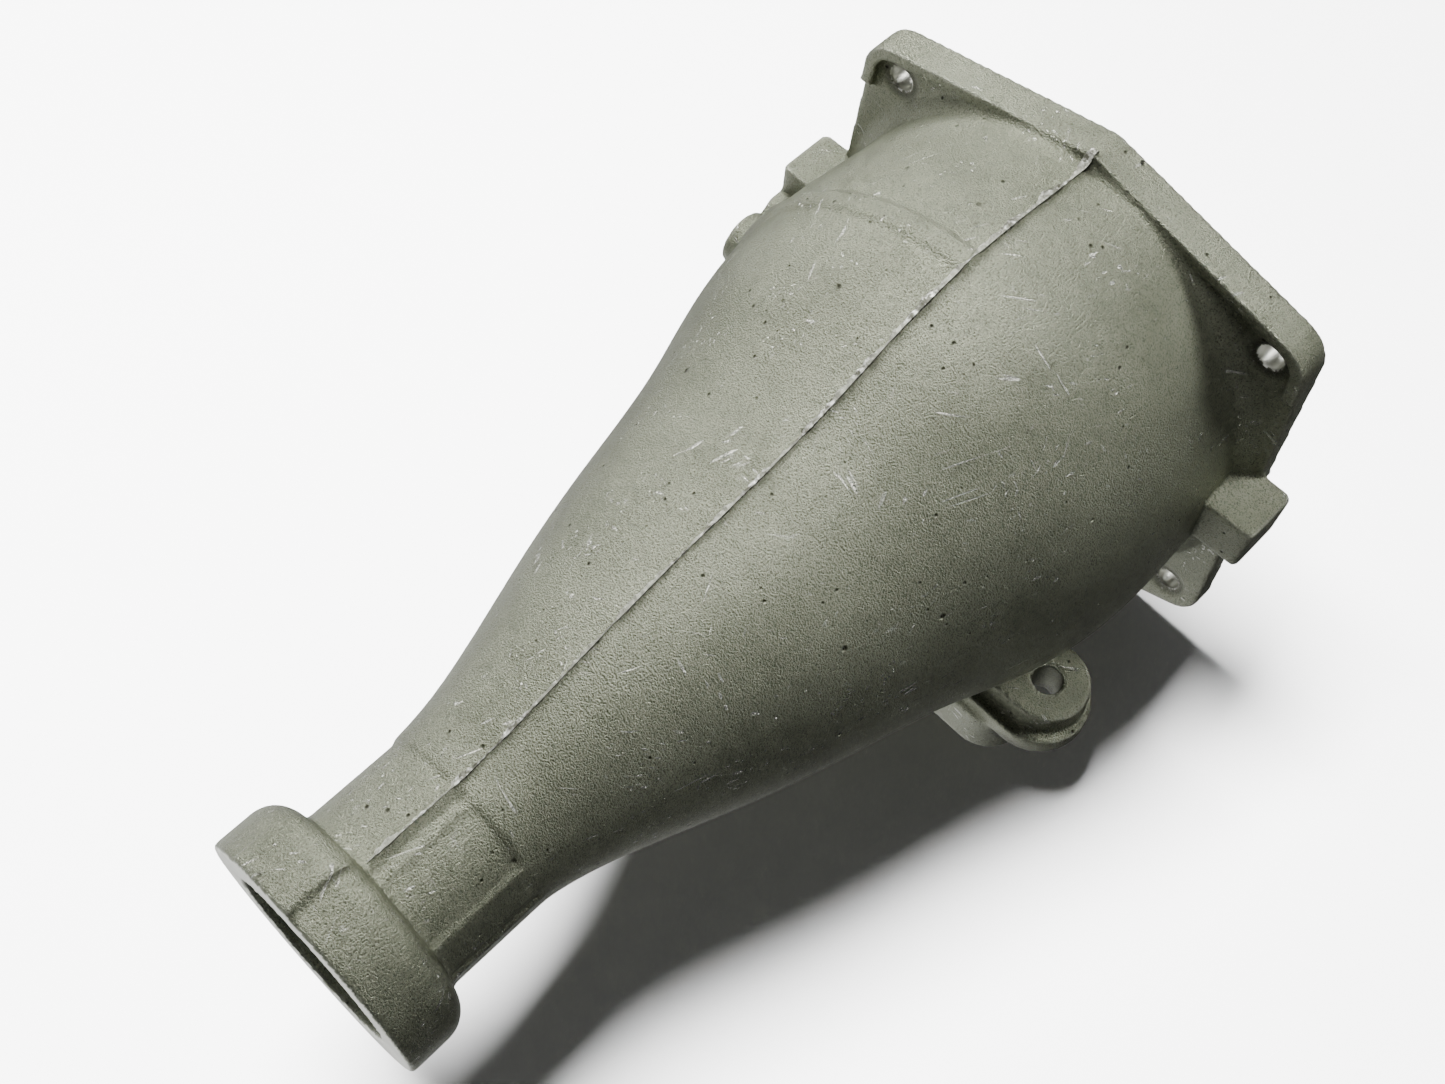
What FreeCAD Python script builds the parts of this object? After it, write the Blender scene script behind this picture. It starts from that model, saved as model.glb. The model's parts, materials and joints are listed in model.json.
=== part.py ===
"""Extension (tail) housing assembly of a rear-drive manual transmission.

Frame: the output shaft turns about the Y axis.  The flange's mounting face is the plane y = 0,
+Y points forward into the main gear case, +X is the vehicle's right side, and +Z is up.
All sizes are millimetres.
"""
import FreeCAD, Part
import math
import os

os.makedirs("parts", exist_ok=True)
Vector = FreeCAD.Vector
ORIGIN = Vector(0, 0, 0)
FORWARD = Vector(0, 1, 0)
UP = Vector(0, 0, 1)

# ---- casting: driving sizes ----
LENGTH = 400.0
WALL = 6.0
# (y, half width, half height, height of the centre) of the outer skin's oval sections
NECK_RADIUS = 37.3
NECK_FRONT = -331.0
SECTIONS = [
    (0.0, 107.5, 120.0, -25.0),
    (-53.0, 106.5, 118.5, -20.5),
    (-98.0, 105.0, 114.5, -17.0),
    (-160.0, 86.5, 91.0, -13.5),
    (-214.0, 72.0, 76.0, -9.5),
    (-267.0, 55.5, 59.5, -5.0),
    (NECK_FRONT, NECK_RADIUS + 1.2, NECK_RADIUS + 1.3, 0.0),
]
# (angle from the right side, width, height) of the flat bands along the neck
NECK_BANDS = ((22.0, 17.0, 0.6), (-6.0, 11.0, 1.3), (186.0, 12.0, 1.4))
COLLAR_RADIUS = 50.9
COLLAR_LENGTH = 28.0
COLLAR_SHOULDER = 11.8
COLLAR_STEP = 2.6
COLLAR_STEP_SWEEP = 34.0
BEAD_Y = (-90.0, -81.0)
BEAD_HEIGHT = 1.6

# ---- flange ----
FLANGE_THICKNESS = 12.0
FLANGE_PEAK = 99.5
FLANGE_FOOT = -152.0
FLANGE_FOOT_HALF = 42.0
EAR_RADIUS = 16.5
UPPER_HOLE = (92.2, 62.4)
LOWER_HOLE = (102.3, -106.1)
BOLT_HOLE_RADIUS = 5.5
SPOTFACE_RADIUS = 10.0
SPOTFACE_DEPTH = 1.0
RIM_WIDTH = 6.0
RIM_HEIGHT = 4.0
RIM_LOW_END = 52.0
FLARE = 6.0
DOWEL_RADIUS = 4.0
DOWEL_PLACE = (108.0, -20.0)
DOWEL_SUNK = 7.0
DOWEL_PROUD = 7.0

# ---- jacking blocks and mount lugs on the casting ----
BLOCK_OUTER = 127.4
BLOCK_TOP = -1.2
BLOCK_HEIGHT = 25.0
BLOCK_Y = (-36.3, -8.1)
LUG_HOLE_RADIUS = 6.6
LUG_RELIEF_RADIUS = 11.0
LUG_RADIUS = 19.0
LUG_THICKNESS = 22.0
LUG_RIGHT = (99.0, -101.5, -80.0)
LUG_LEFT = (-99.0, -117.0, -64.0)
HEEL_HEIGHT = 10.0
HEEL_REACH = 4.0
FOOT_RADIUS = 18.0
FOOT_PLACE = (LUG_RIGHT[0] - 16.0, LUG_RIGHT[1] - 9.0)
FOOT_HEIGHT = 26.0

# ---- bosses and rib on the left side ----
LEFT_FACE = -127.0
BIG_BOSS = (13.0, -60.0, -28.0)
SMALL_BOSS = (8.0, -40.0, -24.0)
LEFT_RIB_TOP = -25.0
LEFT_RIB_THICKNESS = 13.0
LEFT_RIB_CORNERS = ((-80.0, -58.0), (-122.0, -64.0), (-103.0, -131.0), (-80.0, -134.0))

# ---- bearing 35 x 72 x 17 and its web ----
BEARING_FRONT = -69.0
BEARING_WIDTH = 17.0
BEARING_BORE_RADIUS = 17.5
BEARING_OUTER_RADIUS = 36.0
BALL_RADIUS = 5.55
BALL_COUNT = 9
BALL_PITCH_RADIUS = 26.75
BALL_GAP = 0.1
CAGE_WALL = 3.2
CAGE_GAP = 0.15
CAGE_HALF_WIDTH = 7.0
OUTER_RACE_BORE = 30.5
INNER_RACE_RADIUS = 23.0
BEARING_Y = BEARING_FRONT - BEARING_WIDTH / 2
RETAINER_GROOVE = (BEARING_FRONT, BEARING_FRONT + 2.0)
WEB_THICKNESS = 8.0
WEB_BOSS_RADIUS = 47.0
WEB_BOSS = (-90.0, -63.0)
WEB_PORT_RADIUS = 13.0
WEB_PORT_PITCH = 72.0

# ---- rear bush and oil seal ----
YOKE_RADIUS = 24.0
BUSH_OUTER_RADIUS = 26.5
BUSH_Y = (-372.0, -336.0)
SEAL_RADIUS = 35.5
SEAL_Y = (-395.0, -384.0)
SEAL_SHEET = 1.5

# ---- output shaft ----
SHAFT_FRONT = 60.0
JOURNAL_RADIUS = 20.0
JOURNAL_BACK = -10.0
SHOULDER_RADIUS = 22.0
GEAR_SEAT_RADIUS = 17.0
SHAFT_RADIUS = 16.0
SPLINE_RADIUS = 16.5
SPLINE_FRONT = -250.0
SHAFT_END = -362.0
SPLINE_COUNT = 18
SPLINE_DEPTH = 1.8

# ---- speedometer gears: crossed helical pair, shafts at right angles ----
SIDE_ANGLE = 40.0
NORMAL_MODULE = 1.2
DRIVE_TEETH = 8
DRIVEN_TEETH = 18
DRIVE_HELIX = 78.0
PRESSURE_ANGLE = 20.0
BACKLASH = 0.2
DRIVE_WIDTH = 22.0
DRIVEN_WIDTH = 16.0
SPEEDO_Y = -128.0
DRIVEN_HELIX = 90.0 - DRIVE_HELIX
DRIVE_PITCH_RADIUS = DRIVE_TEETH * NORMAL_MODULE / math.cos(math.radians(DRIVE_HELIX)) / 2
DRIVEN_PITCH_RADIUS = DRIVEN_TEETH * NORMAL_MODULE / math.cos(math.radians(DRIVEN_HELIX)) / 2
# "outward" points down and to the left, "across" is square to it and to the output shaft
OUTWARD = Vector(-math.cos(math.radians(SIDE_ANGLE)), 0, -math.sin(math.radians(SIDE_ANGLE)))
ACROSS = Vector(math.sin(math.radians(SIDE_ANGLE)), 0, -math.cos(math.radians(SIDE_ANGLE)))
SPEEDO_FOOT = Vector(0, SPEEDO_Y, 0) + ACROSS * (DRIVE_PITCH_RADIUS + DRIVEN_PITCH_RADIUS)
SLEEVE_RADIUS = 13.95
SLEEVE_BORE_RADIUS = 14.0
SLEEVE_NOSE_RADIUS = 8.0
SLEEVE_FLANGE_RADIUS = 17.0
SLEEVE_FLANGE_THICKNESS = 3.0
CABLE_END_RADIUS = 9.0
CLAMP_SHEET = 2.5
SPINDLE_RADIUS = 4.0
SPEEDO_BOSS_RADIUS = 20.0
SPEEDO_BOSS = (62.0, 118.0)
CLAMP_BOLT_OFFSET = 25.0
CLAMP_LOBE_RADIUS = 9.0
CLAMP_BOLT_RADIUS = 3.0
CLAMP_BOLT_ORIGIN = SPEEDO_FOOT - FORWARD * CLAMP_BOLT_OFFSET

# ---- reverse shift shaft, along the same slanted direction ----
SHIFT_ORIGIN = Vector(0, -48.0, -22.0)
SHIFT_RADIUS = 8.0
SHIFT_BUSH_RADIUS = 10.0
SHIFT_BOSS_RADIUS = 15.0
SHIFT_BOSS = (84.0, 144.0)
SHIFT_BUSHES = ((88.0, 110.0), (126.0, 136.0))
SHIFT_SEAL = (137.0, 143.5)
SHIFT_FIT = 0.04
SHIFT_THREAD_RADIUS = 5.0
LEVER_THICKNESS = 6.0
INNER_LEVER_START = 66.0
INNER_LEVER_LENGTH = 24.0
OUTER_LEVER_START = SHIFT_BOSS[1] + 2.0
OUTER_LEVER_LENGTH = 44.0
SHIFT_SHAFT_END = OUTER_LEVER_START + LEVER_THICKNESS + 13.0

# ---- detent of the shift shaft, in a small boss that runs towards the tail ----
DETENT_ORIGIN = SHIFT_ORIGIN + OUTWARD * 118.0
DETENT_WAY = FORWARD * -1
DETENT_REACH = 34.0
DETENT_BOSS_RADIUS = 8.5
BALL_BORE_RADIUS = 3.4
PLUG_RADIUS = 4.6
DETENT_BALL_RADIUS = 3.0
DETENT_GAP = 0.1
DETENT_BALL_PLACE = SHIFT_RADIUS + 1.6
DETENT_SPRING = (DETENT_BALL_PLACE + DETENT_BALL_RADIUS + 0.8, 10.0)
PLUG_START = 24.4


def save(name, shape):
    """Write one sub-part to its own STEP file."""
    shape.exportStep("parts/" + name + ".step")


def rod(radius, y_start, y_end):
    """Solid cylinder round the shaft axis."""
    low = min(y_start, y_end)
    return Part.makeCylinder(radius, abs(y_end - y_start), Vector(0, low, 0), FORWARD)


def ring(outer, inner, y_start, y_end):
    """Ring round the shaft axis; the bore is cut long so that no skin is left."""
    low = min(y_start, y_end)
    high = max(y_start, y_end)
    return rod(outer, low, high).cut(rod(inner, low - 1, high + 1))


def bar(radius, origin, direction, start, end):
    """Solid cylinder along any direction, between two distances from an origin."""
    return Part.makeCylinder(radius, end - start, origin + direction * start, direction)


def sleeve(outer, inner, origin, direction, start, end):
    """Hollow cylinder along any direction."""
    bore = bar(inner, origin, direction, start - 1, end + 1)
    return bar(outer, origin, direction, start, end).cut(bore)


def hull_face(circles, place):
    """Face bounded by the tangent lines and arcs round a convex, anticlockwise chain of circles."""
    count = len(circles)
    touch = []
    for index in range(count):
        u0, v0, r0 = circles[index]
        u1, v1, r1 = circles[(index + 1) % count]
        gap = math.hypot(u1 - u0, v1 - v0)
        normal = math.atan2(v1 - v0, u1 - u0) - math.acos((r0 - r1) / gap)
        touch.append(normal)
    edges = []
    for index in range(count):
        u0, v0, r0 = circles[index]
        u1, v1, r1 = circles[(index + 1) % count]
        before = touch[index - 1]
        after = touch[index]
        sweep = (after - before) % (2 * math.pi)
        corner = [place(u0 + r0 * math.cos(a), v0 + r0 * math.sin(a))
                  for a in (before, before + sweep / 2, before + sweep)]
        if (corner[0] - corner[2]).Length > 0.01:
            edges.append(Part.Arc(*corner).toShape())
        far = place(u1 + r1 * math.cos(after), v1 + r1 * math.sin(after))
        edges.append(Part.makeLine(corner[2], far))
    return Part.Face(Part.Wire(Part.__sortEdges__(edges)))


def hull_plate(circles, origin, first, second, normal, thickness):
    """Plate with a hull outline in the plane of two directions, thickened along the normal."""
    face = hull_face(circles, lambda u, v: origin + first * u + second * v)
    return face.extrude(normal * thickness)


# ---------------------------------------------------------------- casting
def oval(y, half_width, half_height, centre_z):
    """Upright oval wire in the plane of one section."""
    centre = Vector(0, y, centre_z)
    top = centre + UP * half_height
    side = centre + Vector(half_width, 0, 0)
    return Part.Wire(Part.Ellipse(top, side, centre).toShape())


def body_loft(inset, front_extra):
    """Smooth tapering body through the oval sections, made smaller by an inset."""
    wires = [oval(y + front_extra * (y == 0), w - inset, h - inset, c) for y, w, h, c in SECTIONS]
    return Part.makeLoft(wires, True, False)


def flange_flare():
    """Sloping foot where the body meets the back of the flange."""
    y, half_width, half_height, centre_z = SECTIONS[0]
    back = oval(-FLANGE_THICKNESS - FLARE, half_width - 1, half_height - 1, centre_z)
    front = oval(-FLANGE_THICKNESS + 1, half_width + FLARE, half_height + FLARE, centre_z)
    return Part.makeLoft([back, front], True, True).common(flange_plate(0, -FLANGE_THICKNESS - FLARE, 0))


def flange_circles(inset):
    """Corner circles of the flange outline, anticlockwise from the right lower ear."""
    ear = EAR_RADIUS - inset
    peak = 4.0
    foot = 6.0
    return [
        (LOWER_HOLE[0], LOWER_HOLE[1], ear),
        (UPPER_HOLE[0], UPPER_HOLE[1], ear),
        (0, FLANGE_PEAK - peak - inset, peak),
        (-UPPER_HOLE[0], UPPER_HOLE[1], ear),
        (-LOWER_HOLE[0], LOWER_HOLE[1], ear),
        (-FLANGE_FOOT_HALF, FLANGE_FOOT + foot + inset, foot),
        (FLANGE_FOOT_HALF, FLANGE_FOOT + foot + inset, foot),
    ]


def flange_plate(inset, back, front):
    """Slab with the flange outline between two y planes."""
    origin = Vector(0, back, 0)
    return hull_plate(flange_circles(inset), origin, Vector(1, 0, 0), UP, FORWARD, front - back)


def flange_holes():
    """Bolt holes with spotfaces, and dowel holes from the front."""
    tools = []
    for side in (-1, 1):
        for x, z in (UPPER_HOLE, LOWER_HOLE):
            spot = Vector(side * x, -FLANGE_THICKNESS, z)
            tools.append(bar(BOLT_HOLE_RADIUS, spot, FORWARD, -8, FLANGE_THICKNESS + 1))
            tools.append(bar(SPOTFACE_RADIUS, spot, FORWARD, -12, SPOTFACE_DEPTH))
        place = Vector(side * DOWEL_PLACE[0], 0, DOWEL_PLACE[1])
        tools.append(bar(DOWEL_RADIUS, place, FORWARD, -DOWEL_SUNK, 1))
    return tools


def flange_rim():
    """Raised rib along the flange's two sloping edges, on the rear side, from ear to ear."""
    back = -FLANGE_THICKNESS - RIM_HEIGHT
    band = flange_plate(0, back, -FLANGE_THICKNESS + 1)
    rim = band.cut(flange_plate(RIM_WIDTH, back - 1, -FLANGE_THICKNESS + 2))
    upper = Part.makeBox(300, RIM_HEIGHT + 1, 100, Vector(-150, back, RIM_LOW_END))
    rim = rim.common(upper)
    for side in (-1, 1):
        ear = Vector(side * UPPER_HOLE[0], back - 1, UPPER_HOLE[1])
        rim = rim.cut(bar(SPOTFACE_RADIUS, ear, FORWARD, 0, RIM_HEIGHT + 1))
    return rim


def collar():
    """Seal collar at the tail with a rounded front shoulder; a sector left of the top is proud."""
    def turned(extra, sweep_from, sweep):
        radius = COLLAR_RADIUS + extra
        end = -LENGTH
        knee = end + COLLAR_LENGTH - COLLAR_SHOULDER
        bend = COLLAR_SHOULDER * math.sqrt(0.5)
        middle = Vector(radius - COLLAR_SHOULDER + bend, knee + bend, 0)
        profile = [
            Part.makeLine(Vector(0, end, 0), Vector(radius, end, 0)),
            Part.makeLine(Vector(radius, end, 0), Vector(radius, knee, 0)),
            Part.Arc(Vector(radius, knee, 0), middle,
                     Vector(radius - COLLAR_SHOULDER, end + COLLAR_LENGTH, 0)).toShape(),
            Part.makeLine(Vector(radius - COLLAR_SHOULDER, end + COLLAR_LENGTH, 0),
                          Vector(0, end + COLLAR_LENGTH, 0)),
            Part.makeLine(Vector(0, end + COLLAR_LENGTH, 0), Vector(0, end, 0)),
        ]
        face = Part.Face(Part.Wire(profile))
        face.rotate(ORIGIN, FORWARD, sweep_from)
        return face.revolve(ORIGIN, FORWARD, sweep)
    return turned(0, 0, 360).fuse(turned(COLLAR_STEP, 270 - COLLAR_STEP_SWEEP, COLLAR_STEP_SWEEP))


def neck():
    """Neck barrel with its parting ridge, a rounded rib beside it and flat bands on its sides."""
    barrel = rod(NECK_RADIUS, -LENGTH + 5, NECK_FRONT + 4)
    ridge_y = -LENGTH + COLLAR_LENGTH - 8
    length = NECK_FRONT + 14 - ridge_y
    ridge = Part.makeBox(3.0, length, 4.0, Vector(-1.5, ridge_y, NECK_RADIUS - 2.4))
    rib = Part.makeCylinder(2.6, length - 4, Vector(6.5, ridge_y, NECK_RADIUS - 2.2), FORWARD)
    pieces = [ridge, rib]
    for turn, width, thickness in NECK_BANDS:
        band = Part.makeBox(6.0 + thickness, length, width, Vector(NECK_RADIUS - 6.0, ridge_y, -width / 2))
        band.rotate(ORIGIN, FORWARD, -turn)
        pieces.append(band)
    return barrel.multiFuse(pieces)


def side_block(side):
    """Square jacking block beside the flange."""
    inner = 92.0
    x = inner if side > 0 else -BLOCK_OUTER
    size = Vector(BLOCK_OUTER - inner, BLOCK_Y[1] - BLOCK_Y[0], BLOCK_HEIGHT)
    block = Part.makeBox(size.x, size.y, size.z, Vector(x, BLOCK_Y[0], BLOCK_TOP - BLOCK_HEIGHT))
    upright = [edge for edge in block.Edges
               if abs(edge.BoundBox.ZLength) > 1 and abs(edge.CenterOfMass.x * side - BLOCK_OUTER) < 1]
    return block.makeFillet(3.0, upright)


def arm(place, radius, bottom, height):
    """Straight-sided arm with a round end, from inside the skin out to one side of the casting."""
    x, y = place
    inward = -45.0 if x > 0 else 45.0
    return hull_plate([(0, 0, radius), (inward, 0, radius)][::1 if x < 0 else -1],
                      Vector(x, y, bottom), Vector(1, 0, 0), FORWARD, UP, height)


def right_lug():
    """Right mount lug: a boss, a wider heel at its foot, and a second foot further down and in."""
    x, y, top = LUG_RIGHT
    bottom = top - LUG_THICKNESS
    boss = arm((x, y), LUG_RADIUS, bottom, LUG_THICKNESS)
    heel = arm((x, y - HEEL_REACH / 2), LUG_RADIUS + HEEL_REACH, bottom, HEEL_HEIGHT)
    foot = arm(FOOT_PLACE, FOOT_RADIUS, bottom - FOOT_HEIGHT + 2, FOOT_HEIGHT)
    return boss.fuse(heel).fuse(foot)


def left_lug():
    """Left mount lug: a plain boss."""
    x, y, top = LUG_LEFT
    return arm((x, y), LUG_RADIUS, top - LUG_THICKNESS, LUG_THICKNESS)


def lug_hole(place):
    """Upright hole through a mount lug, with room for a bolt head under it."""
    x, y, top = place
    bottom = top - LUG_THICKNESS
    hole = Part.makeCylinder(LUG_HOLE_RADIUS, LUG_THICKNESS + 2, Vector(x, y, bottom - 1), UP)
    relief = Part.makeCylinder(LUG_RELIEF_RADIUS, FOOT_HEIGHT, Vector(x, y, bottom - FOOT_HEIGHT), UP)
    return hole.fuse(relief)


def left_side_bosses():
    """Round boss, small boss and slanted rib that stand out on the left side."""
    bosses = [bar(radius, Vector(LEFT_FACE, y, z), Vector(1, 0, 0), 0, 40)
              for radius, y, z in (BIG_BOSS, SMALL_BOSS)]
    outline = [Vector(x, y, LEFT_RIB_TOP - LEFT_RIB_THICKNESS) for x, y in LEFT_RIB_CORNERS]
    rib = Part.Face(Part.makePolygon(outline + outline[:1])).extrude(UP * LEFT_RIB_THICKNESS)
    return bosses + [rib]


def skin_bead():
    """Low raised band on the left half of the skin, over the bearing web."""
    length = BEAD_Y[1] - BEAD_Y[0]
    slab = Part.makeBox(150, length, 300, Vector(-150, BEAD_Y[0], -170))
    return slab.common(body_loft(-BEAD_HEIGHT, 0)).cut(body_loft(WALL / 2, 1.0))


def bearing_web():
    """Inside wall with the bearing boss; four ports let oil pass."""
    plate = Part.makeBox(260, WEB_THICKNESS, 300, Vector(-130, WEB_BOSS[0], -170))
    disc = plate.common(body_loft(WALL / 2, 0))
    disc = disc.fuse(rod(WEB_BOSS_RADIUS, *WEB_BOSS))
    for quarter in range(4):
        angle = math.radians(45 + 90 * quarter)
        centre = Vector(WEB_PORT_PITCH * math.cos(angle), 0, WEB_PORT_PITCH * math.sin(angle) - 10)
        disc = disc.cut(bar(WEB_PORT_RADIUS, centre, FORWARD, WEB_BOSS[0] - 5, WEB_BOSS[1] + 5))
    return disc


def speedo_boss_outline(origin, start, end):
    """Slanted boss for the speedometer sleeve, with the clamp bolt's lobe towards the tail."""
    circles = [(0, 0, SPEEDO_BOSS_RADIUS), (-CLAMP_BOLT_OFFSET, 0, CLAMP_LOBE_RADIUS)]
    return hull_plate(circles, origin + OUTWARD * start, FORWARD, ACROSS, OUTWARD, end - start)


def inside_bosses():
    """Slanted bosses that run through the wall: speedometer, reverse shift and its detent."""
    return [
        speedo_boss_outline(SPEEDO_FOOT, *SPEEDO_BOSS),
        bar(SHIFT_BOSS_RADIUS, SHIFT_ORIGIN, OUTWARD, *SHIFT_BOSS),
        bar(DETENT_BOSS_RADIUS, DETENT_ORIGIN, DETENT_WAY, 0, DETENT_REACH),
    ]


def extension_housing():
    """The whole aluminium casting, hollowed, bored and machined."""
    solid = body_loft(0, 0)
    solid = solid.fuse(neck()).fuse(collar())
    solid = solid.fuse(flange_plate(0, -FLANGE_THICKNESS, 0))
    solid = solid.fuse(flange_flare()).fuse(flange_rim())
    for side in (-1, 1):
        solid = solid.fuse(side_block(side))
    solid = solid.fuse(right_lug()).fuse(left_lug())
    solid = solid.fuse(skin_bead())
    for boss in left_side_bosses():
        solid = solid.fuse(boss)
    hollow = body_loft(WALL, 2.0)
    for boss in inside_bosses():
        solid = solid.fuse(boss)
        hollow = hollow.cut(boss)
    solid = solid.cut(hollow.cut(bearing_web()))

    bores = [
        rod(BEARING_OUTER_RADIUS, BEARING_FRONT - BEARING_WIDTH, WEB_BOSS[1] + 1),
        rod(BEARING_OUTER_RADIUS + 2, *RETAINER_GROOVE),
        rod(BEARING_OUTER_RADIUS - 4, WEB_BOSS[0] - 1, BEARING_FRONT),
        rod(NECK_RADIUS - WALL, BUSH_Y[1], NECK_FRONT + 1),
        rod(BUSH_OUTER_RADIUS, BUSH_Y[0], BUSH_Y[1] + 1),
        rod(BUSH_OUTER_RADIUS + 1, SEAL_Y[1] - 1, BUSH_Y[0]),
        rod(SEAL_RADIUS, -LENGTH - 1, SEAL_Y[1]),
        bar(SLEEVE_BORE_RADIUS, SPEEDO_FOOT, OUTWARD, SPEEDO_BOSS[0] - 10, SPEEDO_BOSS[1] + 10),
        bar(CLAMP_BOLT_RADIUS, CLAMP_BOLT_ORIGIN, OUTWARD, SPEEDO_BOSS[1] - 18, SPEEDO_BOSS[1] + 1),
        bar(SHIFT_BUSH_RADIUS, SHIFT_ORIGIN, OUTWARD, SHIFT_BOSS[0] - 10, SHIFT_BOSS[1] + 10),
        bar(BALL_BORE_RADIUS, DETENT_ORIGIN, DETENT_WAY, 0, DETENT_REACH),
        bar(PLUG_RADIUS, DETENT_ORIGIN, DETENT_WAY, PLUG_START, DETENT_REACH + 1),
    ]
    tools = bores + flange_holes() + [lug_hole(LUG_RIGHT), lug_hole(LUG_LEFT)]
    for tool in tools:
        solid = solid.cut(tool)
    return solid


# ---------------------------------------------------------------- bearing and rings
def race(outer, inner):
    """Bearing race with its ball groove."""
    groove = Part.makeTorus(BALL_PITCH_RADIUS, BALL_RADIUS + BALL_GAP, Vector(0, BEARING_Y, 0), FORWARD)
    return ring(outer, inner, BEARING_FRONT - BEARING_WIDTH, BEARING_FRONT).cut(groove)


def ball_centres():
    """Places of the balls on their pitch circle."""
    for index in range(BALL_COUNT):
        angle = 2 * math.pi * index / BALL_COUNT
        yield Vector(BALL_PITCH_RADIUS * math.cos(angle), BEARING_Y, BALL_PITCH_RADIUS * math.sin(angle))


def bearing_balls():
    """All balls as one group of separate solids."""
    return Part.makeCompound([Part.makeSphere(BALL_RADIUS, centre) for centre in ball_centres()])


def bearing_cage():
    """Ring between the races with one round pocket for each ball."""
    cage = ring(BALL_PITCH_RADIUS + CAGE_WALL / 2, BALL_PITCH_RADIUS - CAGE_WALL / 2,
                BEARING_Y - CAGE_HALF_WIDTH, BEARING_Y + CAGE_HALF_WIDTH)
    for centre in ball_centres():
        outward = Vector(centre.x, 0, centre.z)
        start = centre - outward * (CAGE_WALL * 2 / BALL_PITCH_RADIUS)
        cage = cage.cut(Part.makeCylinder(BALL_RADIUS + CAGE_GAP, CAGE_WALL * 4, start, outward))
    return cage


def split_ring(outer, inner, y_start, y_end, gap):
    """Snap ring: a ring with a gap at the top."""
    low = min(y_start, y_end) - 1
    length = abs(y_end - y_start) + 2
    opening = Part.makeBox(gap, length, outer + 5, Vector(-gap / 2, low, 0))
    return ring(outer, inner, y_start, y_end).cut(opening)


# ---------------------------------------------------------------- output shaft
def output_shaft():
    """Turned shaft: front journal, bearing seat, gear seat, and the splined tail for the slip yoke."""
    seat_end = BEARING_FRONT - BEARING_WIDTH
    spline_root = SPLINE_RADIUS - SPLINE_DEPTH
    steps = [
        rod(JOURNAL_RADIUS, JOURNAL_BACK, SHAFT_FRONT),
        rod(JOURNAL_RADIUS - 0.5, BEARING_FRONT + 4, JOURNAL_BACK),
        rod(SHOULDER_RADIUS, BEARING_FRONT, BEARING_FRONT + 4),
        rod(BEARING_BORE_RADIUS, seat_end - 5, BEARING_FRONT),
        rod(GEAR_SEAT_RADIUS, SPEEDO_Y - 18, seat_end - 5),
        rod(SHAFT_RADIUS, SPLINE_FRONT, SPEEDO_Y - 18),
        rod(SPLINE_RADIUS, SHAFT_END, SPLINE_FRONT),
    ]
    shaft = steps[0].multiFuse(steps[1:])
    shaft = shaft.cut(ring(BEARING_BORE_RADIUS + 1, BEARING_BORE_RADIUS - 1.5, seat_end - 2, seat_end))
    groove = Part.makeBox(SPLINE_DEPTH + 2, SPLINE_FRONT - 12 - SHAFT_END + 1, 2.6,
                          Vector(spline_root, SHAFT_END - 1, -1.3))
    for index in range(SPLINE_COUNT):
        tool = groove.copy()
        tool.rotate(ORIGIN, FORWARD, 360.0 * index / SPLINE_COUNT)
        shaft = shaft.cut(tool)
    for end, way in ((SHAFT_FRONT, -1), (SHAFT_END, 1)):
        shaft = shaft.cut(Part.makeCone(5.0, 0.0, 7.0, Vector(0, end, 0), FORWARD * way))
    return shaft


# ---------------------------------------------------------------- speedometer gears
def involute(angle):
    """Involute function of a pressure angle."""
    return math.tan(angle) - angle


def gear_section(radius, teeth, helix, first, zero, side, centre, turn):
    """Closed gear outline square to the axis, with involute flanks thinned for backlash."""
    transverse = math.atan(math.tan(math.radians(PRESSURE_ANGLE)) / math.cos(math.radians(helix)))
    base = radius * math.cos(transverse)
    thinning = BACKLASH / 2 / math.cos(math.radians(helix)) / radius
    levels = [radius - 1.25 * NORMAL_MODULE, radius, radius + NORMAL_MODULE]
    flank = []
    for level in levels:
        slope = math.acos(min(1.0, base / level))
        half = math.pi / (2 * teeth) + involute(transverse) - involute(slope) - thinning
        flank.append((level, half))
    points = []
    for tooth in range(teeth):
        middle = first + turn + 2 * math.pi * tooth / teeth
        for level, half in flank:
            points.append((level, middle - half))
        for level, half in reversed(flank):
            points.append((level, middle + half))
    corners = [centre + zero * (r * math.cos(a)) + side * (r * math.sin(a)) for r, a in points]
    return Part.makePolygon(corners + [corners[0]])


def helical_gear(centre, axis, zero, radius, teeth, helix, width, first):
    """Right-handed helical gear with its teeth numbered from the zero direction."""
    side = axis.cross(zero)
    rate = math.tan(math.radians(helix)) / radius
    steps = max(4, int(math.degrees(rate * width) / 12))
    wires = []
    for index in range(steps + 1):
        along = width * (index / steps - 0.5)
        middle = centre + axis * along
        wires.append(gear_section(radius, teeth, helix, first, zero, side, middle, rate * along))
    return Part.makeLoft(wires, True, True)


def speedo_drive_gear():
    """Many-start gear on the output shaft."""
    centre = Vector(0, SPEEDO_Y, 0)
    gear = helical_gear(centre, FORWARD, ACROSS, DRIVE_PITCH_RADIUS, DRIVE_TEETH, DRIVE_HELIX,
                        DRIVE_WIDTH, 0)
    return gear.cut(rod(GEAR_SEAT_RADIUS, SPEEDO_Y - DRIVE_WIDTH, SPEEDO_Y + DRIVE_WIDTH))


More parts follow.
